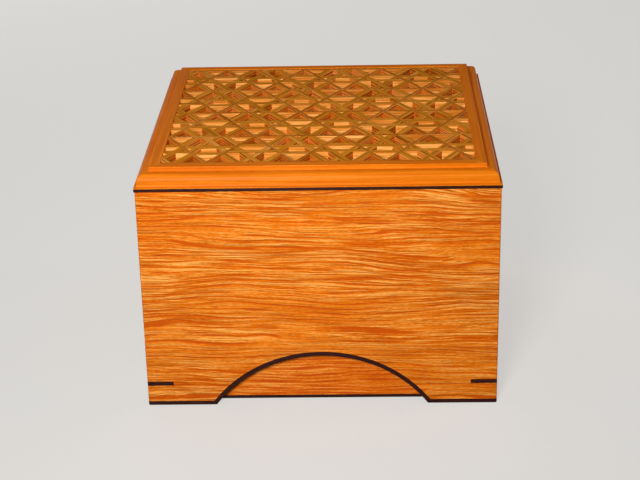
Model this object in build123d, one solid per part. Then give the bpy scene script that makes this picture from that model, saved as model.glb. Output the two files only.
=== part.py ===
from build123d import *
import os
from math import atan2, ceil, degrees, hypot

# A square box for a set of shogi pieces: an outer case with an arch in the foot of each side, an inner
# box that stands above it as a lip, and a loose lid with a moulded frame round an openwork lattice.
# The origin is on the table, under the middle of the box. The front faces -Y.

# Case
case_width = 135.0
case_depth = 135.0
case_height = 88.8
wall_thickness = 4.2
corner_rounding = 0.7

# Dark trim on the case
rim_height = 1.2
rim_proud = 0.3
rim_rounding = 0.25
sole_height = 1.65
edging_thickness = 1.7
key_leg = 10.2
key_thickness = 1.7
key_height = 8.45

# Arch in the foot of each side, measured at the outside of its edging
arch_span = 86.0
arch_rise = 22.5

# Inner box
liner_thickness = 2.5
liner_floor_gap = 0.4
liner_edging_height = 1.3
lip_height = 2.6
lip_easing = 0.5
bottom_thickness = 4.0
bottom_height = 4.5
groove_depth = 1.2
groove_play = 0.1

# Lid frame, with its moulding measured inwards from the face of the case
frame_width = 9.0
ledge_height = 0.45
cove_radius = 0.85
ovolo_radius = 2.8
ovolo_height = 5.1
border_setback = 5.1
lid_height = 6.8
border_easing = 0.3
lid_fit = 0.2
lid_top_play = 0.3

# Lid panel
backing_thickness = 2.0
backing_play = 0.3
lattice_drop = 0.3

# Lattice: triangles counted in half widths across and in rows up the opening, with each slat's
# place measured from the centre of its triangle. Chips of slat smaller than the last are left out.
lattice_half_columns = 7
lattice_rows = 4
rib_width = 1.3
slat_width = 2.8
inner_slat_start = 0.8
corner_slat_start = 7.95
smallest_chip_area = 2.0

# Sizes that follow from those above
rim_top = case_height + rim_height
lip_top = rim_top + lip_height
recess_top = lip_top + lid_top_play
lid_top = rim_top + lid_height
lattice_top = lid_top - lattice_drop
lattice_thickness = lattice_top - recess_top
liner_inner = wall_thickness + liner_thickness
arch_radius = (arch_span**2 / 4 + arch_rise**2) / (2 * arch_rise)
arch_centre = arch_rise - arch_radius
opening_width = case_width - 2 * frame_width
opening_depth = case_depth - 2 * frame_width
lattice_pitch = 2 * opening_width / lattice_half_columns
row_spacing = (opening_depth - rib_width) / lattice_rows
rib_slope = degrees(atan2(row_spacing, lattice_pitch / 2))

# Each side: its length, its distance from the middle and its turn from the front
sides = {
    "front": (case_width, case_depth / 2, 0),
    "right": (case_depth, case_width / 2, 90),
    "back": (case_width, case_depth / 2, 180),
    "left": (case_depth, case_width / 2, 270),
}


def on_side(side, shape):
    """Move a piece from the working place, where the case's face is y = 0, to its side."""
    distance, turn = sides[side][1:]
    return Rot(0, 0, turn) * Pos(0, -distance, 0) * shape


def mitred_plan(length, outer, inner, rounding=0.0):
    """Plan of a strip with mitred ends, between two depths measured inwards from the case's face."""
    half = length / 2
    plan = make_face(
        Polyline(
            (-half + outer, outer),
            (half - outer, outer),
            (half - inner, inner),
            (-half + inner, inner),
            close=True,
        )
    )
    if rounding > 0:
        for end in (-1, 1):
            plan -= corner_waste(end * half, rounding, outer)
    return plan


def corner_waste(corner, rounding, outer):
    """Plan of the sharp wood that the rounding takes off a corner of the case."""
    inward = -1 if corner > 0 else 1
    centre = (corner + inward * (outer + rounding), outer + rounding)
    square = Pos(*centre) * Rectangle(2 * rounding, 2 * rounding)
    keep = Pos(*centre) * Circle(rounding)
    quarter = Pos(centre[0] - inward * rounding, centre[1] - rounding) * Rectangle(2 * rounding, 2 * rounding)
    return (square - keep) & quarter


def strip(length, outer, inner, low, high, rounding=0.0):
    """Straight mitred strip between two heights."""
    plan = mitred_plan(length, outer, inner, rounding)
    return Pos(0, 0, low) * extrude(plan, high - low)


def arch_tool(radius, depth):
    """Cylinder through the foot of a side, for the arch and its edging."""
    return Pos(0, depth / 2, arch_centre) * Rot(90, 0, 0) * Cylinder(radius, 2 * depth)


def kerf_plan(length, end):
    """Plan of the saw kerf across a mitre, which the corner key fills."""
    corner = end * length / 2
    return make_face(Polyline((corner, 0), (corner - end * key_leg, 0), (corner, key_leg), close=True))


def cut_kerfs(board, length):
    """Cut the kerf for a corner key across both mitres of a board."""
    for end in (-1, 1):
        board -= Pos(0, 0, key_height) * extrude(kerf_plan(length, end), key_thickness)
    return board


def outer_wall(length):
    """Outer board with mitred ends, an arch in its foot and kerfs for the corner keys."""
    board = strip(length, 0, wall_thickness, sole_height, case_height, corner_rounding)
    board -= arch_tool(arch_radius, wall_thickness)
    return cut_kerfs(board, length)


def rim_strip(length):
    """Dark strip on the top edge of an outer board, a little proud of it."""
    band = strip(length, -rim_proud, wall_thickness, case_height, rim_top)
    face_edges = band.edges().filter_by(Axis.X).group_by(Axis.Y)[0]
    return fillet(face_edges, rim_rounding)


def arch_edging(length):
    """Dark band bent into the arch, flush with both faces of the board."""
    blank = Pos(0, wall_thickness / 2, arch_rise / 2) * Box(length, wall_thickness, arch_rise)
    band = blank & arch_tool(arch_radius, wall_thickness)
    return band - arch_tool(arch_radius - edging_thickness, wall_thickness)


def foot_soles(length):
    """Dark strips under the two feet of a side, left one first."""
    band = strip(length, 0, wall_thickness, 0, sole_height, corner_rounding)
    band -= arch_tool(arch_radius, wall_thickness)
    return band.solids().sort_by(Axis.X)


def corner_key():
    """Dark key that fills the kerf across the mitre at the right end of the front."""
    plan = kerf_plan(case_width, 1) - corner_waste(case_width / 2, corner_rounding, 0)
    return Pos(0, -case_depth / 2, key_height) * extrude(plan, key_thickness)


def liner_board(length):
    """Inner board: grooved for the bottom, kerfed for the keys and eased along the lip."""
    low = liner_floor_gap + liner_edging_height
    board = strip(length, wall_thickness, liner_inner, low, lip_top)
    groove_top = bottom_height + bottom_thickness + groove_play
    board -= strip(length, liner_inner - groove_depth, liner_inner, bottom_height, groove_top)
    top_edges = board.edges().filter_by(Axis.X).group_by(Axis.Z)[-1]
    board = chamfer(top_edges, lip_easing)
    return cut_kerfs(board, length)


def liner_edging(length):
    """Dark strip under an inner board."""
    low = liner_floor_gap
    return strip(length, wall_thickness, liner_inner, low, low + liner_edging_height)


def bottom_board():
    """Bottom of the box, held in the grooves of the inner boards."""
    reach = 2 * (liner_inner - groove_depth + groove_play)
    board = Box(case_width - reach, case_depth - reach, bottom_thickness)
    return Pos(0, 0, bottom_height + bottom_thickness / 2) * board


def moulding_profile():
    """Section of the lid frame: ledge, cove, ovolo and raised border over a rebate for the lip."""
    cove_top = rim_top + ledge_height + cove_radius
    ovolo_top = rim_top + ovolo_height
    ovolo_low = ovolo_top - ovolo_radius
    shelf_start = cove_radius + ovolo_radius
    rebate = wall_thickness - lid_fit
    face = Line((-rim_proud, rim_top), (-rim_proud, rim_top + ledge_height))
    ledge = Line(face @ 1, (0, rim_top + ledge_height))
    cove = CenterArc((0, cove_top), cove_radius, -90, 90)
    upright = Line(cove @ 1, (cove_radius, ovolo_low))
    ovolo = CenterArc((shelf_start, ovolo_low), ovolo_radius, 180, -90)
    rest = Polyline(
        (shelf_start, ovolo_top),
        (border_setback, ovolo_top),
        (border_setback, lid_top),
        (frame_width, lid_top),
        (frame_width, recess_top),
        (rebate, recess_top),
        (rebate, rim_top),
        (-rim_proud, rim_top),
    )
    return make_face(Plane.YZ * Curve([face, ledge, cove, upright, ovolo, rest]))


def lid_moulding(length):
    """Moulded frame piece of the lid with mitred ends."""
    bar = extrude(moulding_profile(), length / 2 + rim_proud, both=True)
    border_edge = bar.edges().filter_by(Axis.X).group_by(Axis.Z)[-1].sort_by(Axis.Y)
    bar = fillet(border_edge, border_easing)
    return bar & strip(length, -rim_proud, frame_width, rim_top, lid_top)


def backing_board():
    """Thin board under the lattice, which drops inside the lip."""
    reach = 2 * (liner_inner + backing_play)
    board = Box(case_width - reach, case_depth - reach, backing_thickness)
    return Pos(0, 0, recess_top - backing_thickness / 2) * board


def lattice_opening():
    """Opening of the lid frame, which bounds the lattice."""
    return Rectangle(opening_width, opening_depth)


def on_lattice(across, up, shape):
    """Place a plan by its pitches and rows from the lattice's first node, at the front right corner."""
    x = opening_width / 2 + across * lattice_pitch
    y = -opening_depth / 2 + rib_width / 2 + up * row_spacing
    return Pos(x, y) * shape


def rib_plans(turn):
    """Plans of the parallel ribs in one direction, cut to the opening."""
    bar = Rot(0, 0, turn) * Rectangle(4 * hypot(opening_width, opening_depth), rib_width)
    if turn == 0:
        starts = [(0, row) for row in range(lattice_rows + 1)]
    else:
        reach = lattice_half_columns + lattice_rows
        starts = [(across, 0) for across in range(-reach, reach + 1)]
    plans = []
    for across, up in starts:
        piece = on_lattice(across, up, bar) & lattice_opening()
        plans += [face for face in piece.faces() if face.area > smallest_chip_area]
    return plans


def lattice_ribs():
    """Ribs in three directions, notched in thirds of their height where they cross."""
    third = lattice_thickness / 3
    names = ["lattice_cross_ribs", "lattice_rising_ribs", "lattice_falling_ribs"]
    plans = [rib_plans(turn) for turn in (0, rib_slope, 180 - rib_slope)]
    # For each direction: the other directions that it gives way to, and from which third to which
    notches = [
        [(1, 0, 2), (2, 0, 2)],
        [(0, 2, 3), (2, 0, 1)],
        [(0, 1, 3), (1, 1, 3)],
    ]
    nodes = {}
    for name, faces, gives_way in zip(names, plans, notches):
        cutters = []
        for other, first, last in gives_way:
            for face in plans[other]:
                cutters.append(Pos(0, 0, first * third) * extrude(face, (last - first) * third))
        ribs = []
        for face in faces:
            rib = extrude(face, lattice_thickness) - cutters
            ribs += rib.solids()
        nodes[name] = Pos(0, 0, recess_top) * Compound(children=ribs)
    return nodes


def star_plan():
    """Slats that fill one triangle of the ribs: three round its centre and three across its corners."""
    half = lattice_pitch / 2
    low = -row_spacing / 3
    triangle = make_face(Polyline((-half, low), (half, low), (0, low + row_spacing), close=True))
    triangle = offset(triangle, -rib_width / 2, kind=Kind.INTERSECTION)
    slats = []
    for turn in (90, 270 - rib_slope, rib_slope - 90):
        for start in (inner_slat_start, corner_slat_start):
            slat = Rectangle(slat_width, 2 * lattice_pitch)
            slats.append(Rot(0, 0, turn) * Pos(start + slat_width / 2, 0) * slat)
    star = slats[0]
    for slat in slats[1:]:
        star += slat
    return star & triangle


def lattice_stars(points_back):
    """Fillings of all triangles that point one way, cut to the opening."""
    star = star_plan() if points_back else Rot(0, 0, 180) * star_plan()
    centre = (1 / 2, 1 / 3) if points_back else (1, 2 / 3)
    columns = ceil(lattice_half_columns / 2)
    solids = []
    for row in range(lattice_rows):
        for column in range(-columns - lattice_rows, lattice_rows):
            plan = on_lattice(column + row / 2 + centre[0], row + centre[1], star)
            piece = plan & lattice_opening()
            for face in piece.faces():
                if face.area > smallest_chip_area:
                    solids.append(extrude(face, lattice_thickness))
    return Pos(0, 0, recess_top) * Compound(children=solids)


def build():
    """All pieces by name."""
    nodes = {}
    for side, (length, _, _) in sides.items():
        nodes[f"{side}_wall"] = on_side(side, outer_wall(length))
        nodes[f"{side}_rim_strip"] = on_side(side, rim_strip(length))
        nodes[f"{side}_arch_edging"] = on_side(side, arch_edging(length))
        left_sole, right_sole = foot_soles(length)
        nodes[f"{side}_left_foot_sole"] = on_side(side, left_sole)
        nodes[f"{side}_right_foot_sole"] = on_side(side, right_sole)
        nodes[f"{side}_liner"] = on_side(side, liner_board(length))
        nodes[f"{side}_liner_edging"] = on_side(side, liner_edging(length))
        nodes[f"lid_{side}_moulding"] = on_side(side, lid_moulding(length))
    key = corner_key()
    nodes["front_right_corner_key"] = key
    nodes["front_left_corner_key"] = key.mirror(Plane.YZ)
    nodes["back_right_corner_key"] = key.mirror(Plane.XZ)
    nodes["back_left_corner_key"] = key.mirror(Plane.YZ).mirror(Plane.XZ)
    nodes["bottom_board"] = bottom_board()
    nodes["lid_backing_board"] = backing_board()
    nodes.update(lattice_ribs())
    nodes["lattice_back_stars"] = lattice_stars(points_back=True)
    nodes["lattice_front_stars"] = lattice_stars(points_back=False)
    return nodes


os.makedirs("parts", exist_ok=True)
for name, shape in build().items():
    export_step(shape, f"parts/{name}.step")
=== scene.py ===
from collections import namedtuple
from math import atan2, cos, radians, sin

import bmesh
import bpy
from bpy.props import FloatProperty, FloatVectorProperty, PointerProperty
from mathutils import Euler, Matrix, Vector
from mathutils.noise import random, seed_set


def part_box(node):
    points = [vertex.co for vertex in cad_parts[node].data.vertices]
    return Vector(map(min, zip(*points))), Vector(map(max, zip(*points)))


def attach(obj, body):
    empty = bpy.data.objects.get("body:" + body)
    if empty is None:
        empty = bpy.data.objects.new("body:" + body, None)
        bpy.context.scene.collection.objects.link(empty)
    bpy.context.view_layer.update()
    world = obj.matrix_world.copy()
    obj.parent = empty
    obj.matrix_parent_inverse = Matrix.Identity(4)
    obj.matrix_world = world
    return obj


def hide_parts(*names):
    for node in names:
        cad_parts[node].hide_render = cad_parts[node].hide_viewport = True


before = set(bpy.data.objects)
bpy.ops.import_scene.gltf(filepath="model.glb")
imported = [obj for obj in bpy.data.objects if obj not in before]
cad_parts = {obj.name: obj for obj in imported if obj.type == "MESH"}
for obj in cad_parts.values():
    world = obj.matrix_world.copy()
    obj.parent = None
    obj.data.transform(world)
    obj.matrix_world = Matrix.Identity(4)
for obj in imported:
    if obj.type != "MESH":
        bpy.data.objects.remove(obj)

bl_info = {
    "name": "Shogi Piece Box",
    "version": (1, 0, 0),
    "blender": (4, 5, 0),
    "location": "View3D > Sidebar > Piece Box",
    "description": "Finishes the boards, trim, moulded lid and lattice of a box for shogi pieces",
    "category": "Add Mesh",
}

SIDES = ("front", "right", "back", "left")
CORNERS = ("front_left", "front_right", "back_left", "back_right")
TRIM = ("rim_strip", "arch_edging", "left_foot_sole", "right_foot_sole", "liner_edging")
RIBS = ("lattice_cross_ribs", "lattice_rising_ribs", "lattice_falling_ribs")
STARS = {"lattice_back_stars": True, "lattice_front_stars": False}
CASE = "case"
LID = "lid"
MM = 0.001

# Meshes. A face is upright where its normal rises less than the limit, and slanted where it
# points less than that to the front or the back.
MERGE_DISTANCE = 1e-6
CUT_TOLERANCE = 1e-7
FLAT_ANGLE = radians(0.5)
EASED_EDGE_ANGLE = radians(28)
SMOOTH_ANGLE = radians(40)
SQUARE_LIMIT = 0.9
TRIM_EASING = 0.12 * MM
KEY_EASING = 0.06 * MM
BOARD_EASING = 0.15 * MM
LATTICE_EASING = 0.06 * MM

# Lattice: counted in half pitches across and in rows, with each slat's place from the centre of
# its triangle
HALF_COLUMNS = 7
ROWS = 4
RIB_WIDTH = 1.3 * MM
SLAT_WIDTH = 2.8 * MM
SLAT_STARTS = (0.8 * MM, 7.95 * MM)
SMALLEST_CHIP_AREA = 2.0 * MM * MM
LATTICE_LOW, LATTICE_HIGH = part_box("lattice_cross_ribs")
PITCH = 2 * (LATTICE_HIGH.x - LATTICE_LOW.x) / HALF_COLUMNS
ROW_SPACING = (LATTICE_HIGH.y - LATTICE_LOW.y - RIB_WIDTH) / ROWS
RIB_SLOPE = atan2(ROW_SPACING, PITCH / 2)

# Grain map: the level leans, so that a top face shows lines too, and every slat starts elsewhere
GRAIN_MAP = "grain"
GRAIN_TILT = radians(24)
GRAIN_SPREAD = 0.4
LATTICE_SEED = 7

# Grain in general: the distance between rings, how far they wander, the length of one wave and
# the distance between streaks
RING_WIDTH = 2.3 * MM
WAVER = 16 * MM
WAVE_LENGTH = 110 * MM
STREAK_WIDTH = 0.155 * MM
SEED_STEP = 7.31
NOISE_ROUGHNESS = 0.55

# Marks of the grain: how often a noise changes along and across it, its detail and its place. Its
# values from low to high are drawn out to those from least to most.
Mark = namedtuple(
    "Mark", "along across detail offset low high least most", defaults=(0.0, 1.0, 0.0, 1.0)
)
SWEEP = Mark(0.6, 1.6, 0.0, 0.0)
TREMBLE = Mark(9.0, 45.0, 1.0, 5.9)
BEND = Mark(1.7, 8.0, 1.0, 3.7)
RING_DRIFT = Mark(0.4, 0.37, 1.0, 8.3)
RING_STRENGTH = Mark(5.0, 0.9, 1.0, 12.1, 0.38, 0.60, 0.1, 1.0)
CALM = Mark(2.6, 9.0, 1.0, 51.7, 0.35, 0.65, 0.45, 1.15)
STREAKS = Mark(6.6, 0.52, 3.0, 0.0, 0.33, 0.67)
RIDGES = Mark(3.9, 0.80, 2.0, 21.3, 0.59, 0.68)
FIBRES = Mark(60.0, 1.1, 2.0, 27.7, 0.30, 0.70)
PORES = Mark(42.0, 2.6, 1.0, 31.9, 0.62, 0.70)
PATCHES = Mark(1.7, 4.0, 2.0, 41.1, 0.3, 0.7)

# Shares of the waver that bend the fibres and the rings, and the drift of the rings in widths
SWEEP_SHARE = 0.8
TREMBLE_SHARE = 0.06
RING_BEND_SHARE = 0.8
FIBRE_BEND_SHARE = 0.5
RING_DRIFT_WIDTHS = 2.4

# Parts of a ring from its start at 0 to its end at 1: it darkens, ends sharply and starts porous
RING_DARKENS = (0.5, 0.88)
RING_ENDS = (0.88, 1.0, 1.0, 0.0)
RING_POROUS = (0.3, 0.55, 1.0, 0.25)

# Relief of the marks, as shares of the relief of the wood
STREAK_RELIEF = 0.40
RIDGE_RELIEF = 0.45
FIBRE_RELIEF = 0.12
RING_RELIEF = -0.40
PORE_RELIEF = -0.35

# Eyes of the grain: how often they come along and across it, their radius, which of them rise
# instead of sink, and their height in wavers
EYES_ALONG = 2.2
EYES_ACROSS = 8.0
EYE_RADIUS = 0.42
EYES_RISING = (0.45, 0.75)
EYE_HEIGHT = 0.09

# Wood: tones that turn from dark to light and from light to pale, and its sheen across the fibres
DARK_TONES = (0.0, 0.5)
# The pale tones are painted highlight: glints on the raised grain, and sheen on the cut lattice
PALE_TONES = (0.42, 1.15)
PORE_SHADE = 0.45
UNEVEN_POLISH = 0.22
ANISOTROPY = 0.7
QUARTER_TURN = 0.25

# Camera, solved from the corners of the box in the photograph
CAMERA_PLACE = (17.18 * MM, -622.7 * MM, 305.6 * MM)
CAMERA_PITCH = radians(-23.07)
CAMERA_ROLL = radians(-1.28)
CAMERA_YAW = radians(-1.72)
CAMERA_LENS = 91.45
SENSOR_WIDTH = 36
NEAREST_SEEN = 0.01

# Lamps: place, target, size and spread
KEY_LAMP = ((-0.09, -0.60, 0.350), (-0.02, -0.06, 0.10), 0.16, radians(60))
FILL_LAMP = ((-0.5, 0.95, 0.32), (0, 0, 0.05), 0.8, radians(180))
SIDE_LAMP = ((1.0, 0.1, 0.17), (0, 0, 0.05), 0.3, radians(180))
LAMP_TINT = (1.0, 0.97, 0.92)

# Surroundings, dimmer at the horizon
SKY_TINT = (1.0, 0.99, 0.97)
SKY_RISE = (0.1, 0.8)
HORIZON_SHARE = 0.5

# Floor: half its side, its mottle, how much of its own colour glows where it is seen, and how
# much is left of it where it only lights the box
FLOOR_REACH = 3.0
FLOOR_CELLS = 8
FLOOR_MOTTLE = 0.96
FLOOR_ROUGHNESS = 0.8
BACKGROUND_SHARE = 0.7
BOUNCE_SHARE = 0.12

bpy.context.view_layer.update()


# Properties

def colour(name, description, default):
    """Colour property."""
    return FloatVectorProperty(
        name=name, description=description, default=default, subtype="COLOR", size=3,
        min=0.0, max=1.0,
    )


class CaseFinish(bpy.types.PropertyGroup):
    """Finish of the case."""

    easing: FloatProperty(
        name="Edge easing", description="Width of the softened edges",
        default=0.20 * MM, unit="LENGTH", min=0.0,
    )
    relief: FloatProperty(
        name="Grain relief", description="Height of the brushed grain",
        default=0.20 * MM, unit="LENGTH", min=0.0,
    )
    ring_width: FloatProperty(
        name="Ring width", description="Distance between growth rings",
        default=RING_WIDTH, unit="LENGTH", min=1e-4,
    )
    waver: FloatProperty(
        name="Waver", description="How far the rings wander",
        default=WAVER, unit="LENGTH", min=0.0,
    )
    light: colour("Light wood", "Soft wood between the rings", (0.825, 0.200, 0.001))
    dark: colour("Dark wood", "Hard wood of the rings", (0.60, 0.086, 0.0))
    # Pale is painted highlight: the glints on the raised lines of the brushed grain, over their
    # real bump
    pale: colour("Pale streaks", "Painted glints on the raised lines of the brushed grain", (1.0, 0.455, 0.100))
    trim: colour("Trim", "Dark wood of the edging", (0.021, 0.0052, 0.0040))


class LidFinish(bpy.types.PropertyGroup):
    """Finish of the lid."""

    easing: FloatProperty(
        name="Edge easing", description="Width of the softened edges",
        default=0.15 * MM, unit="LENGTH", min=0.0,
    )
    light: colour("Moulding light", "Light grain of the moulded frame", (0.72, 0.175, 0.003))
    dark: colour("Moulding dark", "Dark grain of the moulded frame", (0.58, 0.110, 0.001))
    slat: colour("Slats", "Planed tops of the slats", (0.66, 0.220, 0.005))
    rib: colour("Ribs", "Planed tops of the ribs", (0.48, 0.150, 0.005))
    # The cut colour is whiter than the tops, partly painted sheen; a darker copy of it on the
    # slanted sides is painted shade
    cut: colour("Cut faces", "Cut sides of the slats and ribs", (0.71, 0.265, 0.036))


class StageSetting(bpy.types.PropertyGroup):
    """Floor, lamps and surroundings."""

    floor: colour("Floor", "Pale floor", (0.78, 0.77, 0.75))
    key: FloatProperty(
        name="Key lamp", description="Power of the small lamp in front of the box",
        default=0.53, unit="POWER", min=0.0,
    )
    fill: FloatProperty(
        name="Fill lamp", description="Power of the large lamp behind the box",
        default=5.0, unit="POWER", min=0.0,
    )
    side: FloatProperty(
        name="Side lamp", description="Power of the low lamp on the right",
        default=2.8, unit="POWER", min=0.0,
    )
    sky: FloatProperty(
        name="Surroundings", description="Strength of the surroundings", default=0.15, min=0.0
    )


# Node building

class NodeTree:
    """Short words for building one node tree."""

    def __init__(self, tree):
        self.tree = tree

    def add(self, kind, **settings):
        """New node with its settings."""
        node = self.tree.nodes.new(kind)
        for key, value in settings.items():
            setattr(node, key, value)
        return node

    def feed(self, socket, value):
        """Link an input to an output, or give it a value."""
        if isinstance(value, bpy.types.NodeSocket):
            self.tree.links.new(value, socket)
        else:
            socket.default_value = value

    def math(self, operation, first, second=0.0, clamp=False):
        """Result of a Math node."""
        node = self.add("ShaderNodeMath", operation=operation, use_clamp=clamp)
        self.feed(node.inputs[0], first)
        self.feed(node.inputs[1], second)
        return node.outputs[0]

    def plus(self, first, second, clamp=False):
        """Sum of two values."""
        return self.math("ADD", first, second, clamp)

    def minus(self, first, second):
        """Difference of two values."""
        return self.math("SUBTRACT", first, second)

    def times(self, first, second):
        """Product of two values."""
        return self.math("MULTIPLY", first, second)

    def combine(self, x, y, z):
        """Vector of three values."""
        node = self.add("ShaderNodeCombineXYZ")
        for socket, value in zip(node.inputs, (x, y, z)):
            self.feed(socket, value)
        return node.outputs[0]

    def split(self, vector):
        """Three parts of a vector."""
        node = self.add("ShaderNodeSeparateXYZ")
        self.feed(node.inputs[0], vector)
        return node.outputs

    def noise(self, vector, detail, roughness, scale=1.0):
        """Noise from 0 to 1."""
        node = self.add("ShaderNodeTexNoise", noise_dimensions="3D", normalize=True)
        self.feed(node.inputs["Vector"], vector)
        node.inputs["Scale"].default_value = scale
        node.inputs["Detail"].default_value = detail
        node.inputs["Roughness"].default_value = roughness
        return node.outputs["Fac"]

    def spread(self, value, low, high, least=0.0, most=1.0, kind="SMOOTHSTEP"):
        """Values from low to high drawn out to those from least to most."""
        node = self.add("ShaderNodeMapRange", interpolation_type=kind)
        for socket, number in zip(node.inputs[:5], (value, low, high, least, most)):
            self.feed(socket, number)
        return node.outputs[0]

    def mix(self, factor, first, second):
        """Mixture of two colours."""
        node = self.add("ShaderNodeMix", data_type="RGBA", blend_type="MIX", clamp_factor=True)
        self.feed(node.inputs["Factor"], factor)
        colours = [socket for socket in node.inputs if socket.type == "RGBA"]
        self.feed(colours[0], first)
        self.feed(colours[1], second)
        return next(socket for socket in node.outputs if socket.type == "RGBA")


def solid(wood_colour):
    """Four numbers for a colour socket."""
    return (*wood_colour, 1.0)


def tinted(wood_colour, *shares):
    """Colour times one share, or times one each for red, green and blue."""
    if len(shares) == 1:
        shares *= 3
    return [min(1.0, part * share) for part, share in zip(wood_colour, shares)]


def new_group(name, inputs, outputs):
    """Shader node group with named sockets. Returns its words, its inputs and its results."""
    tree = bpy.data.node_groups.new(name, "ShaderNodeTree")
    for label, kind, value in inputs:
        socket = tree.interface.new_socket(name=label, in_out="INPUT", socket_type=kind)
        if value is not None:
            socket.default_value = value
    for label in outputs:
        tree.interface.new_socket(name=label, in_out="OUTPUT", socket_type="NodeSocketFloat")
    words = NodeTree(tree)
    entry = words.add("NodeGroupInput")
    result = words.add("NodeGroupOutput")
    return words, entry.outputs, result.inputs


def use_group(words, tree, **values):
    """Place a group in a tree and feed its inputs by name."""
    node = words.add("ShaderNodeGroup", node_tree=tree)
    for key, value in values.items():
        words.feed(node.inputs[key.replace("_", " ")], value)
    return node.outputs


def eyes(w, along, rise, seeded):
    """Scattered long bumps that the rings flow round."""
    cells = w.add("ShaderNodeTexVoronoi", voronoi_dimensions="3D", feature="F1")
    place = w.combine(w.times(along, EYES_ALONG), seeded, w.times(rise, EYES_ACROSS))
    w.feed(cells.inputs["Vector"], place)
    cells.inputs["Scale"].default_value = 1.0
    chance = w.split(cells.outputs["Color"])[0]
    bump = w.spread(cells.outputs["Distance"], 0.0, EYE_RADIUS, 1.0, 0.0)
    return w.times(bump, w.spread(chance, *EYES_RISING, -EYE_HEIGHT, EYE_HEIGHT))


def grain_group():
    """Grain of a planed board, from a place along the grain and a level across it."""
    name = "Board grain"
    if name in bpy.data.node_groups:
        return bpy.data.node_groups[name]
    inputs = [
        ("Vector", "NodeSocketVector", None),
        ("Ring Width", "NodeSocketFloat", RING_WIDTH),
        ("Waver", "NodeSocketFloat", WAVER),
        ("Length", "NodeSocketFloat", WAVE_LENGTH),
        ("Streak Width", "NodeSocketFloat", STREAK_WIDTH),
        ("Seed", "NodeSocketFloat", 0.0),
    ]
    outputs = ("Rings", "Streaks", "Ridges", "Fibres", "Pores", "Patches", "Relief")
    w, given, made = new_group(name, inputs, outputs)
    x, _, z = w.split(given["Vector"])
    along = w.math("DIVIDE", x, given["Length"])
    rise = w.math("DIVIDE", z, given["Length"])
    seeded = w.times(given["Seed"], SEED_STEP)

    def field(mark, level):
        """Noise of a mark, drawn out along the grain."""
        place = w.combine(
            w.times(along, mark.along), w.plus(seeded, mark.offset), w.times(level, mark.across)
        )
        return w.noise(place, mark.detail, NOISE_ROUGHNESS)

    def spread_field(mark, level):
        """Noise of a mark between its limits."""
        return w.spread(field(mark, level), mark.low, mark.high, mark.least, mark.most)

    def bend(mark, share):
        """Noise of a mark about zero, as a share of the waver."""
        return w.times(w.minus(field(mark, rise), 0.5), w.times(given["Waver"], share))

    # Slow sweeps and a fine tremble bend all the grain. Quicker bends and eyes shape the rings,
    # and the fibres follow the bends less.
    flow = w.plus(z, bend(SWEEP, SWEEP_SHARE))
    flow = w.plus(flow, bend(TREMBLE, TREMBLE_SHARE))
    quick = bend(BEND, 1.0)
    height = w.plus(flow, w.times(quick, RING_BEND_SHARE))
    height = w.plus(height, w.times(eyes(w, along, rise, seeded), given["Waver"]))
    flow = w.plus(flow, w.times(quick, FIBRE_BEND_SHARE))

    ring = w.math("DIVIDE", height, given["Ring Width"])
    ring = w.plus(ring, w.times(field(RING_DRIFT, ring), RING_DRIFT_WIDTHS))
    phase = w.math("FRACT", ring)
    line = w.times(w.spread(phase, *RING_DARKENS), w.spread(phase, *RING_ENDS))
    rings = w.times(line, spread_field(RING_STRENGTH, ring))

    level = w.math("DIVIDE", flow, given["Streak Width"])
    streaks = w.minus(spread_field(STREAKS, level), 0.5)
    streaks = w.plus(w.times(streaks, spread_field(CALM, rise)), 0.5)
    ridges = spread_field(RIDGES, level)
    fibres = spread_field(FIBRES, level)
    pores = w.times(spread_field(PORES, level), w.spread(phase, *RING_POROUS))
    patches = spread_field(PATCHES, rise)

    relief = w.times(streaks, STREAK_RELIEF)
    raised = (
        (ridges, RIDGE_RELIEF), (fibres, FIBRE_RELIEF), (rings, RING_RELIEF), (pores, PORE_RELIEF)
    )
    for mark, share in raised:
        relief = w.plus(relief, w.times(mark, share))
    results = (rings, streaks, ridges, fibres, pores, patches, relief)
    for label, value in zip(outputs, results):
        w.feed(made[label], value)
    return w.tree


def handling_group():
    """Uneven polish of handled wood: roughness that follows its fibres and a slow cloud."""
    name = "Hand polish"
    if name in bpy.data.node_groups:
        return bpy.data.node_groups[name]
    inputs = [
        ("Vector", "NodeSocketVector", None),
        ("Roughness", "NodeSocketFloat", 0.4),
        ("Unevenness", "NodeSocketFloat", 0.1),
        ("Fibres", "NodeSocketFloat", 0.5),
    ]
    w, given, made = new_group(name, inputs, ["Roughness"])
    cloud = w.noise(given["Vector"], detail=3.0, roughness=0.6, scale=38.0)
    mean = w.plus(w.times(given["Fibres"], 0.5), w.times(cloud, 0.5))
    shift = w.times(w.minus(mean, 0.5), given["Unevenness"])
    w.feed(made["Roughness"], w.plus(given["Roughness"], shift, clamp=True))
    return w.tree


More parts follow.
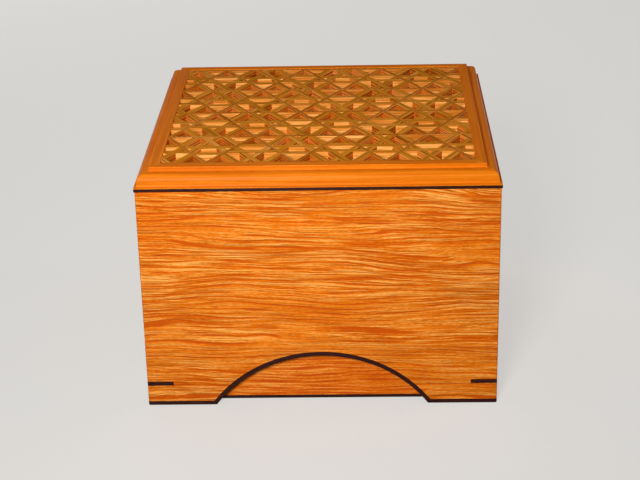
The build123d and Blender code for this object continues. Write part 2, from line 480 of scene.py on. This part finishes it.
def wood(name, light, dark, pale, seed=0.0, ring_width=RING_WIDTH, waver=WAVER,
         length=WAVE_LENGTH, streak_width=STREAK_WIDTH, relief=0.08 * MM, roughness=0.5,
         gloss=0.07, ring_share=0.8, streak_share=1.0, ridge_glint_share=0.6, fibre_share=0.4,
         pore_share=0.3, patch_share=0.15):
    """Wood whose marks follow the grain map, with a sheen drawn out across its fibres.

    The shares say how much each mark changes the tone, which goes from dark to light to a painted
    pale highlight.
    """
    material = bpy.data.materials.new(name)
    material.use_nodes = True
    w = NodeTree(material.node_tree)
    shader = material.node_tree.nodes["Principled BSDF"]
    u, v, _ = w.split(w.add("ShaderNodeUVMap", uv_map=GRAIN_MAP).outputs[0])
    place = w.combine(u, 0.0, v)
    grain = use_group(
        w, grain_group(), Vector=place, Ring_Width=ring_width, Waver=waver, Length=length,
        Streak_Width=streak_width, Seed=seed,
    )

    tone = w.times(grain["Streaks"], streak_share)
    marks = (
        (grain["Rings"], -ring_share),
        (grain["Ridges"], ridge_glint_share),
        (w.minus(grain["Fibres"], 0.5), fibre_share),
        (w.minus(grain["Patches"], 0.5), patch_share),
    )
    for mark, share in marks:
        tone = w.plus(tone, w.times(mark, share))
    tone = w.plus(tone, 0.5 * (1.0 - streak_share))
    body = w.mix(w.spread(tone, *DARK_TONES, kind="LINEAR"), solid(dark), solid(light))
    # Painted highlight: the highest tones, mostly on the ridges, turn to the pale colour
    body = w.mix(w.spread(tone, *PALE_TONES), body, solid(pale))
    deep = tinted(dark, PORE_SHADE)
    body = w.mix(w.times(grain["Pores"], pore_share), body, solid(deep))
    w.feed(shader.inputs["Base Color"], body)

    polish = use_group(
        w, handling_group(), Vector=place, Roughness=roughness, Unevenness=UNEVEN_POLISH,
        Fibres=grain["Fibres"],
    )
    w.feed(shader.inputs["Roughness"], polish["Roughness"])
    bump = w.add("ShaderNodeBump")
    bump.inputs["Strength"].default_value = 1.0
    bump.inputs["Distance"].default_value = relief
    w.feed(bump.inputs["Height"], grain["Relief"])
    w.feed(shader.inputs["Normal"], bump.outputs[0])
    tangent = w.add("ShaderNodeTangent", direction_type="UV_MAP", uv_map=GRAIN_MAP)
    w.feed(shader.inputs["Tangent"], tangent.outputs[0])
    shader.inputs["Specular IOR Level"].default_value = gloss
    shader.inputs["Anisotropic"].default_value = ANISOTROPY
    shader.inputs["Anisotropic Rotation"].default_value = QUARTER_TURN
    return material


# Mesh building

def new_object(name, data):
    """Object at the origin, linked to the scene."""
    item = bpy.data.objects.new(name, data)
    bpy.context.scene.collection.objects.link(item)
    return item


def only(kind, parts):
    """Parts of one kind, such as the vertices of a copied plan."""
    return [part for part in parts if isinstance(part, kind)]


def merged_copy(node):
    """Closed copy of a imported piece, with its flat faces whole again."""
    work = bmesh.new()
    work.from_mesh(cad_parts[node].data)
    bmesh.ops.remove_doubles(work, verts=work.verts, dist=MERGE_DISTANCE)
    bmesh.ops.dissolve_limit(
        work, angle_limit=FLAT_ANGLE, verts=work.verts, edges=work.edges
    )
    return work


def ease(work, width, segments):
    """Soften the sharp edges of a bmesh, and merge the corners that the bevel leaves doubled."""
    edges = [
        edge for edge in work.edges
        if edge.is_manifold and edge.calc_face_angle() > EASED_EDGE_ANGLE
    ]
    bmesh.ops.bevel(
        work, geom=edges, offset=width, offset_type="OFFSET", segments=segments, profile=0.5,
        affect="EDGES", clamp_overlap=True, material=-1,
    )
    bmesh.ops.remove_doubles(work, verts=work.verts, dist=MERGE_DISTANCE)


def lay_grain(work, strips):
    """Map every face by the turn and shift of its strip: along its grain, and across and up."""
    owner = work.faces.layers.int.get("strip")
    grain = work.loops.layers.uv.new(GRAIN_MAP)
    for face in work.faces:
        turn, shift = strips[face[owner]] if owner else strips[0]
        along = Vector((cos(turn), sin(turn), 0))
        across = Vector((-sin(turn), cos(turn), 0))
        for loop in face.loops:
            point = loop.vert.co
            level = point.z * cos(GRAIN_TILT) + point.dot(across) * sin(GRAIN_TILT)
            loop[grain].uv = (point.dot(along) + shift, level + shift)


def wooden(node, work, body, strips, materials, easing, segments):
    """Turn a bmesh into the finished piece that stands for a node.

    The first material goes to its flat faces. The other two, where they are given, go to upright
    faces: one to those that face the front or the back, and one to the slanted ones.
    """
    ease(work, easing, segments)
    lay_grain(work, strips)
    # Faces are sorted by where they face, so that the lattice's slanted sides can take a darker
    # copy of the finish as painted shade
    if len(materials) > 1:
        for face in work.faces:
            upright = abs(face.normal.z) < SQUARE_LIMIT
            slanted = abs(face.normal.y) < SQUARE_LIMIT
            face.material_index = 1 + slanted if upright else 0
    name = f"{node}_finished"
    mesh = bpy.data.meshes.new(name)
    work.to_mesh(mesh)
    work.free()
    mesh.polygons.foreach_set("use_smooth", [True] * len(mesh.polygons))
    mesh.set_sharp_from_angle(angle=SMOOTH_ANGLE)
    piece = new_object(name, mesh)
    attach(piece, body)
    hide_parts(node)
    for material in materials:
        mesh.materials.append(material)
    smoother = piece.modifiers.new("Even shading", "WEIGHTED_NORMAL")
    smoother.keep_sharp = True


def eased_piece(node, body, turn, materials, easing, segments=2):
    """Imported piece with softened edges, its grain in one direction and a finish."""
    wooden(node, merged_copy(node), body, [(turn, 0.0)], materials, easing, segments)


def side_turn(side):
    """Direction in which a side runs."""
    return 0.0 if side in ("front", "back") else radians(90)


def cut_flat(work, normal, distance, clear=False):
    """Cut a flat plan at a distance from the origin, and drop what lies beyond it if asked."""
    geometry = work.verts[:] + work.edges[:] + work.faces[:]
    bmesh.ops.bisect_plane(
        work, geom=geometry, dist=CUT_TOLERANCE, plane_co=normal * distance, plane_no=normal,
        clear_outer=clear,
    )


def slat_turns(points_back):
    """Directions from a triangle's centre to its corners, which the slats lie square to."""
    turns = (radians(90), radians(270) - RIB_SLOPE, RIB_SLOPE - radians(90))
    return turns if points_back else tuple(turn + radians(180) for turn in turns)


def star_plan(work, points_back):
    """Slats of one triangle, drawn flat about its centre. Each face knows its slat's number."""
    owner = work.faces.layers.int.new("strip")
    low = -ROW_SPACING / 3
    corners = [
        Vector((-PITCH / 2, low, 0)), Vector((PITCH / 2, low, 0)), Vector((0, low + ROW_SPACING, 0))
    ]
    if not points_back:
        corners = [-corner for corner in corners]
    work.faces.new([work.verts.new(corner) for corner in corners])
    for first, second in zip(corners, corners[1:] + corners[:1]):
        edge = second - first
        outward = Vector((edge.y, -edge.x, 0)).normalized()
        cut_flat(work, outward, first.dot(outward) - RIB_WIDTH / 2, clear=True)

    normals = [Vector((cos(turn), sin(turn), 0)) for turn in slat_turns(points_back)]
    for normal in normals:
        for start in SLAT_STARTS:
            cut_flat(work, normal, start)
            cut_flat(work, normal, start + SLAT_WIDTH)
    for face in work.faces[:]:
        centre = face.calc_center_median()
        over = [
            number for number, normal in enumerate(normals)
            if any(start < centre.dot(normal) < start + SLAT_WIDTH for start in SLAT_STARTS)
        ]
        if over:
            face[owner] = over[0]
        else:
            work.faces.remove(face)

    same = [
        edge for edge in work.edges
        if len(edge.link_faces) == 2 and len({face[owner] for face in edge.link_faces}) == 1
    ]
    bmesh.ops.dissolve_edges(work, edges=same, use_verts=True)
    wires = [edge for edge in work.edges if edge.is_wire]
    bmesh.ops.delete(work, geom=wires, context="EDGES")
    loose = [vert for vert in work.verts if not vert.link_faces]
    bmesh.ops.delete(work, geom=loose, context="VERTS")
    return owner


def drop_chips(work):
    """Drop the connected bits of a plan that are too small to be glued in."""
    waiting = dict.fromkeys(work.faces)
    chips = []
    while waiting:
        island = [waiting.popitem()[0]]
        for face in island:
            for near in (other for edge in face.edges for other in edge.link_faces):
                if near in waiting:
                    del waiting[near]
                    island.append(near)
        if sum(face.calc_area() for face in island) < SMALLEST_CHIP_AREA:
            chips += island
    bmesh.ops.delete(work, geom=chips, context="FACES")


def ordered_copy(work):
    """Copy of slats with their faces in a fixed order, because extruding leaves them in any."""
    work.verts.index_update()
    ordered = sorted(work.faces, key=lambda face: sorted(vert.index for vert in face.verts))
    owner = work.faces.layers.int["strip"]
    copy = bmesh.new()
    copied_owner = copy.faces.layers.int.new("strip")
    verts = [copy.verts.new(vert.co) for vert in work.verts]
    for face in ordered:
        copied = copy.faces.new([verts[vert.index] for vert in face.verts])
        copied[copied_owner] = face[owner]
    copy.normal_update()
    work.free()
    return copy


def star_filling(points_back):
    """Solid slats of all triangles that point one way, with each slat's turn and shift."""
    work = bmesh.new()
    owner = star_plan(work, points_back)
    pattern = work.verts[:] + work.edges[:] + work.faces[:]
    turns = [turn - radians(90) for turn in slat_turns(points_back)]
    strips = [(turn, 0.0) for turn in turns]
    across, up = (1 / 2, 1 / 3) if points_back else (1, 2 / 3)
    for row in range(ROWS):
        for column in range(-HALF_COLUMNS, ROWS):
            x = LATTICE_HIGH.x + (column + row / 2 + across) * PITCH
            y = LATTICE_LOW.y + RIB_WIDTH / 2 + (row + up) * ROW_SPACING
            copied = bmesh.ops.duplicate(work, geom=pattern)["geom"]
            bmesh.ops.translate(work, verts=only(bmesh.types.BMVert, copied), vec=(x, y, 0))
            for face in only(bmesh.types.BMFace, copied):
                face[owner] += len(strips)
            strips += [(turn, GRAIN_SPREAD * random()) for turn in turns]
    bmesh.ops.delete(work, geom=only(bmesh.types.BMVert, pattern), context="VERTS")

    for normal in (Vector((1, 0, 0)), Vector((0, 1, 0))):
        cut_flat(work, normal, LATTICE_HIGH.dot(normal), clear=True)
        cut_flat(work, -normal, -LATTICE_LOW.dot(normal), clear=True)
    drop_chips(work)
    grown = bmesh.ops.extrude_face_region(work, geom=work.faces[:])["geom"]
    depth = LATTICE_LOW.z - LATTICE_HIGH.z
    bmesh.ops.translate(work, verts=only(bmesh.types.BMVert, grown), vec=(0, 0, depth))
    bmesh.ops.translate(work, verts=work.verts, vec=(0, 0, LATTICE_HIGH.z))
    bmesh.ops.recalc_face_normals(work, faces=work.faces)
    return ordered_copy(work), strips


# Pieces

class BOX_OT_case_boards(bpy.types.Operator):
    """Finish the four outer boards with brushed, wandering grain"""

    bl_idname = "piece_box.case_boards"
    bl_label = "Case boards"

    def execute(self, context):
        look = context.scene.case_finish
        for number, side in enumerate(SIDES):
            board = wood(
                f"{side} board", look.light, look.dark, look.pale, seed=121.0 + number,
                ring_width=look.ring_width, waver=look.waver, relief=look.relief, roughness=0.55,
            )
            turn = side_turn(side)
            eased_piece(f"{side}_wall", CASE, turn, [board], look.easing)
        return {"FINISHED"}


class BOX_OT_case_trim(bpy.types.Operator):
    """Finish the dark rim, arch edging, soles and corner keys"""

    bl_idname = "piece_box.case_trim"
    bl_label = "Dark trim"

    def execute(self, context):
        dark = context.scene.case_finish.trim
        # The light and pale colours are 1.5 and 2.4 times the dark; the pale one is a painted
        # highlight on the ebony
        trim = wood(
            "dark trim", tinted(dark, 1.5), dark, tinted(dark, 2.4), seed=3.0,
            ring_width=1.1 * MM, waver=1.5 * MM, length=60 * MM, streak_width=0.25 * MM,
            relief=0.012 * MM, roughness=0.45, gloss=0.06, ridge_glint_share=0.4, pore_share=0.6,
        )
        for side in SIDES:
            for part in TRIM:
                eased_piece(f"{side}_{part}", CASE, side_turn(side), [trim], TRIM_EASING)
        for corner in CORNERS:
            eased_piece(f"{corner}_corner_key", CASE, 0.0, [trim], KEY_EASING)
        return {"FINISHED"}


class BOX_OT_inner_box(bpy.types.Operator):
    """Finish the inner boards and the bottom"""

    bl_idname = "piece_box.inner_box"
    bl_label = "Inner box"

    def execute(self, context):
        look = context.scene.case_finish
        # Toned-down case colours; their pale is the case's painted glint
        light, dark, pale = (
            tinted(shade, 0.9, 0.8, 0.7) for shade in (look.light, look.dark, look.pale)
        )
        for number, side in enumerate(SIDES):
            liner = wood(
                f"{side} inner board", light, dark, pale, seed=11.0 + number,
                ring_width=1.9 * MM, waver=8 * MM, length=90 * MM, streak_width=0.25 * MM,
                relief=0.05 * MM, streak_share=0.8, ridge_glint_share=0.35,
            )
            turn = side_turn(side)
            eased_piece(f"{side}_liner", CASE, turn, [liner], BOARD_EASING)
        bottom = wood(
            "bottom board", look.light, look.dark, look.pale, seed=21.0, ring_width=2 * MM,
            waver=12 * MM, relief=0.03 * MM, roughness=0.55, ridge_glint_share=0.25,
        )
        eased_piece("bottom_board", CASE, 0.0, [bottom], BOARD_EASING)
        return {"FINISHED"}


class BOX_OT_lid_frame(bpy.types.Operator):
    """Finish the four mouldings of the lid and the board under its lattice"""

    bl_idname = "piece_box.lid_frame"
    bl_label = "Lid frame"

    def execute(self, context):
        look = context.scene.lid_finish
        # Pale is the case's painted glint with less green and blue, a yellower painted highlight on
        # the mouldings and backing board
        pale = tinted(context.scene.case_finish.pale, 1.0, 0.70, 0.25)
        for number, side in enumerate(SIDES):
            moulding = wood(
                f"{side} moulding", look.light, look.dark, pale, seed=31.0 + number,
                ring_width=1.3 * MM, waver=1.6 * MM, length=220 * MM, streak_width=0.3 * MM,
                relief=0.004 * MM, roughness=0.4, gloss=0.05, ring_share=0.2,
                streak_share=0.4, ridge_glint_share=0.1, fibre_share=0.12, pore_share=0.0,
            )
            node = f"lid_{side}_moulding"
            eased_piece(node, LID, side_turn(side), [moulding], look.easing)
        board = wood(
            "backing board", look.light, look.dark, pale, seed=41.0, ring_width=2 * MM,
            waver=5 * MM, relief=0.02 * MM, roughness=0.55, ridge_glint_share=0.2,
        )
        eased_piece("lid_backing_board", LID, 0.0, [board], BOARD_EASING)
        return {"FINISHED"}


class BOX_OT_lattice(bpy.types.Operator):
    """Build the slats between the ribs and finish both, with the grain along each"""

    bl_idname = "piece_box.lattice"
    bl_label = "Lattice"

    def execute(self, context):
        look = context.scene.lid_finish
        rib_cut = tinted(look.cut, 0.82, 0.72, 0.5)
        rib_woods = self.woods(look, "rib", 0, look.rib, rib_cut, 0.2)
        slat_woods = self.woods(look, "slat", 1, look.slat, look.cut, 0.6)
        for node, turn in zip(RIBS, (0, RIB_SLOPE, radians(180) - RIB_SLOPE)):
            eased_piece(node, LID, turn, rib_woods, LATTICE_EASING, 1)
        seed_set(LATTICE_SEED)
        for node, points_back in STARS.items():
            work, strips = star_filling(points_back)
            wooden(node, work, LID, strips, slat_woods, LATTICE_EASING, 1)
        return {"FINISHED"}

    def woods(self, look, name, number, top, cut, top_ring_share):
        """Finishes of the planed tops, the cut sides with painted sheen, and the slanted cuts in
        painted shade.
        """
        # Painted sheen: a whitened copy of the cut colour for the palest streaks and ridges
        pale = tinted(look.cut, 1.35, 1.75, 3.6)
        # Painted shade: the slanted sides take a darker, redder copy of the cut colour, with near
        # black rings as painted shadow
        shaded_slant = tinted(look.cut, 0.97, 0.68, 0.29)
        finish = dict(
            ring_width=0.95 * MM, waver=0.3 * MM, length=200 * MM, relief=0.02 * MM,
            roughness=0.55, gloss=0.05, fibre_share=0.15, pore_share=0.1,
        )
        return [
            wood(
                f"{name} top", top, tinted(top, 0.5), pale, seed=51.0 + number,
                streak_width=0.15 * MM, ring_share=top_ring_share, streak_share=0.45,
                ridge_glint_share=0.1, patch_share=0.2, **finish,
            ),
            wood(
                f"{name} side", cut, tinted(cut, 0.80, 0.60, 0.4), pale, seed=61.0 + number,
                streak_width=0.27 * MM, ring_share=0.5, streak_share=1.2,
                ridge_glint_share=0.4, patch_share=0.3, **finish,
            ),
            wood(
                f"{name} slant", shaded_slant, tinted(shaded_slant, 0.30, 0.22, 0.2), pale,
                seed=71.0 + number, streak_width=0.15 * MM, ring_share=1.1, streak_share=0.45,
                ridge_glint_share=0.3, patch_share=0.3, **finish,
            ),
        ]


def camera_turn():
    """Turn of the camera from its pitch, roll and yaw."""
    upright = Euler((radians(90) + CAMERA_PITCH, 0, -CAMERA_YAW), "XYZ").to_matrix()
    return (upright @ Matrix.Rotation(CAMERA_ROLL, 3, "Z")).to_4x4()


def soft_lamp(name, power, place, target, size, spread):
    """Round soft lamp that points at a target."""
    lamp = bpy.data.lights.new(name, "AREA")
    lamp.shape = "DISK"
    lamp.size = size
    lamp.energy = power
    lamp.spread = spread
    lamp.color = LAMP_TINT
    holder = new_object(name, lamp)
    holder.location = place
    aim = Vector(target) - Vector(place)
    holder.rotation_euler = aim.to_track_quat("-Z", "Y").to_euler()
    return holder


class BOX_OT_stage(bpy.types.Operator):
    """Lay the pale floor and set the lamps and the camera"""

    bl_idname = "piece_box.stage"
    bl_label = "Stage"

    def execute(self, context):
        scene = context.scene
        setting = scene.stage_setting
        scene.view_settings.view_transform = "Standard"
        self.lay_floor(setting.floor)
        soft_lamp("key", setting.key, *KEY_LAMP)
        fill = soft_lamp("fill", setting.fill, *FILL_LAMP)
        side = soft_lamp("side", setting.side, *SIDE_LAMP)
        fill.visible_glossy = side.visible_glossy = False
        scene.world = self.surroundings(setting.sky)
        camera = new_object("camera", bpy.data.cameras.new("camera"))
        camera.data.lens = CAMERA_LENS
        camera.data.sensor_width = SENSOR_WIDTH
        camera.data.clip_start = NEAREST_SEEN
        camera.matrix_world = Matrix.Translation(CAMERA_PLACE) @ camera_turn()
        scene.camera = camera
        return {"FINISHED"}

    def surroundings(self, brightness):
        """Soft pale sky, dimmer at the horizon."""
        world = bpy.data.worlds.new("surroundings")
        world.use_nodes = True
        background = world.node_tree.nodes["Background"]
        background.inputs["Color"].default_value = solid(SKY_TINT)
        w = NodeTree(world.node_tree)
        height = w.split(w.add("ShaderNodeTexCoord").outputs["Generated"])[2]
        strength = w.spread(height, *SKY_RISE, HORIZON_SHARE, 1.0)
        w.feed(background.inputs["Strength"], w.times(strength, brightness))
        return world

    def lay_floor(self, tint):
        """Pale floor that is bright where it is seen, and throws little colour on the box."""
        work = bmesh.new()
        bmesh.ops.create_grid(
            work, x_segments=FLOOR_CELLS, y_segments=FLOOR_CELLS, size=FLOOR_REACH
        )
        mesh = bpy.data.meshes.new("floor")
        work.to_mesh(mesh)
        work.free()
        material = bpy.data.materials.new("pale floor")
        material.use_nodes = True
        w = NodeTree(material.node_tree)
        shader = material.node_tree.nodes["Principled BSDF"]
        place = w.add("ShaderNodeTexCoord").outputs["Object"]
        tooth = w.noise(place, detail=4.0, roughness=0.6, scale=900.0)
        pale = w.mix(tooth, solid(tinted(tint, FLOOR_MOTTLE)), solid(tint))
        rays = w.add("ShaderNodeLightPath").outputs
        seen = w.plus(rays["Is Camera Ray"], rays["Is Glossy Ray"])
        seen = w.plus(seen, rays["Is Transmission Ray"], clamp=True)
        shade = solid(tinted(tint, BOUNCE_SHARE))
        w.feed(shader.inputs["Base Color"], w.mix(seen, shade, pale))
        shader.inputs["Roughness"].default_value = FLOOR_ROUGHNESS
        glow = w.add("ShaderNodeEmission")
        glow.inputs["Color"].default_value = solid(tint)
        blend = w.add("ShaderNodeMixShader")
        w.feed(blend.inputs[0], w.times(seen, BACKGROUND_SHARE))
        w.feed(blend.inputs[1], shader.outputs[0])
        w.feed(blend.inputs[2], glow.outputs[0])
        output = material.node_tree.nodes["Material Output"]
        w.feed(output.inputs["Surface"], blend.outputs[0])
        mesh.materials.append(material)
        new_object("floor", mesh)


class BOX_PT_panel(bpy.types.Panel):
    """Panel with a button for each group of pieces and the settings under them"""

    bl_idname = "BOX_PT_panel"
    bl_label = "Piece Box"
    bl_space_type = "VIEW_3D"
    bl_region_type = "UI"
    bl_category = "Piece Box"

    def draw(self, context):
        layout = self.layout
        for operator in OPERATORS:
            layout.operator(operator.bl_idname)
        for name in GROUPS:
            group = getattr(context.scene, name)
            box = layout.box()
            for setting in group.__annotations__:
                box.prop(group, setting)


GROUPS = {"case_finish": CaseFinish, "lid_finish": LidFinish, "stage_setting": StageSetting}
OPERATORS = (
    BOX_OT_stage,
    BOX_OT_case_boards,
    BOX_OT_case_trim,
    BOX_OT_inner_box,
    BOX_OT_lid_frame,
    BOX_OT_lattice,
)


def register():
    """Register the properties, the operators and the panel."""
    for name, group in GROUPS.items():
        bpy.utils.register_class(group)
        setattr(bpy.types.Scene, name, PointerProperty(type=group))
    for item in (*OPERATORS, BOX_PT_panel):
        bpy.utils.register_class(item)


def unregister():
    """Take them away again."""
    for item in (BOX_PT_panel, *reversed(OPERATORS)):
        bpy.utils.unregister_class(item)
    for name, group in GROUPS.items():
        delattr(bpy.types.Scene, name)
        bpy.utils.unregister_class(group)


def main():
    """Finish the whole box."""
    register()
    for operator in OPERATORS:
        group, name = operator.bl_idname.split(".")
        getattr(getattr(bpy.ops, group), name)()


if __name__ == "__main__":
    main()
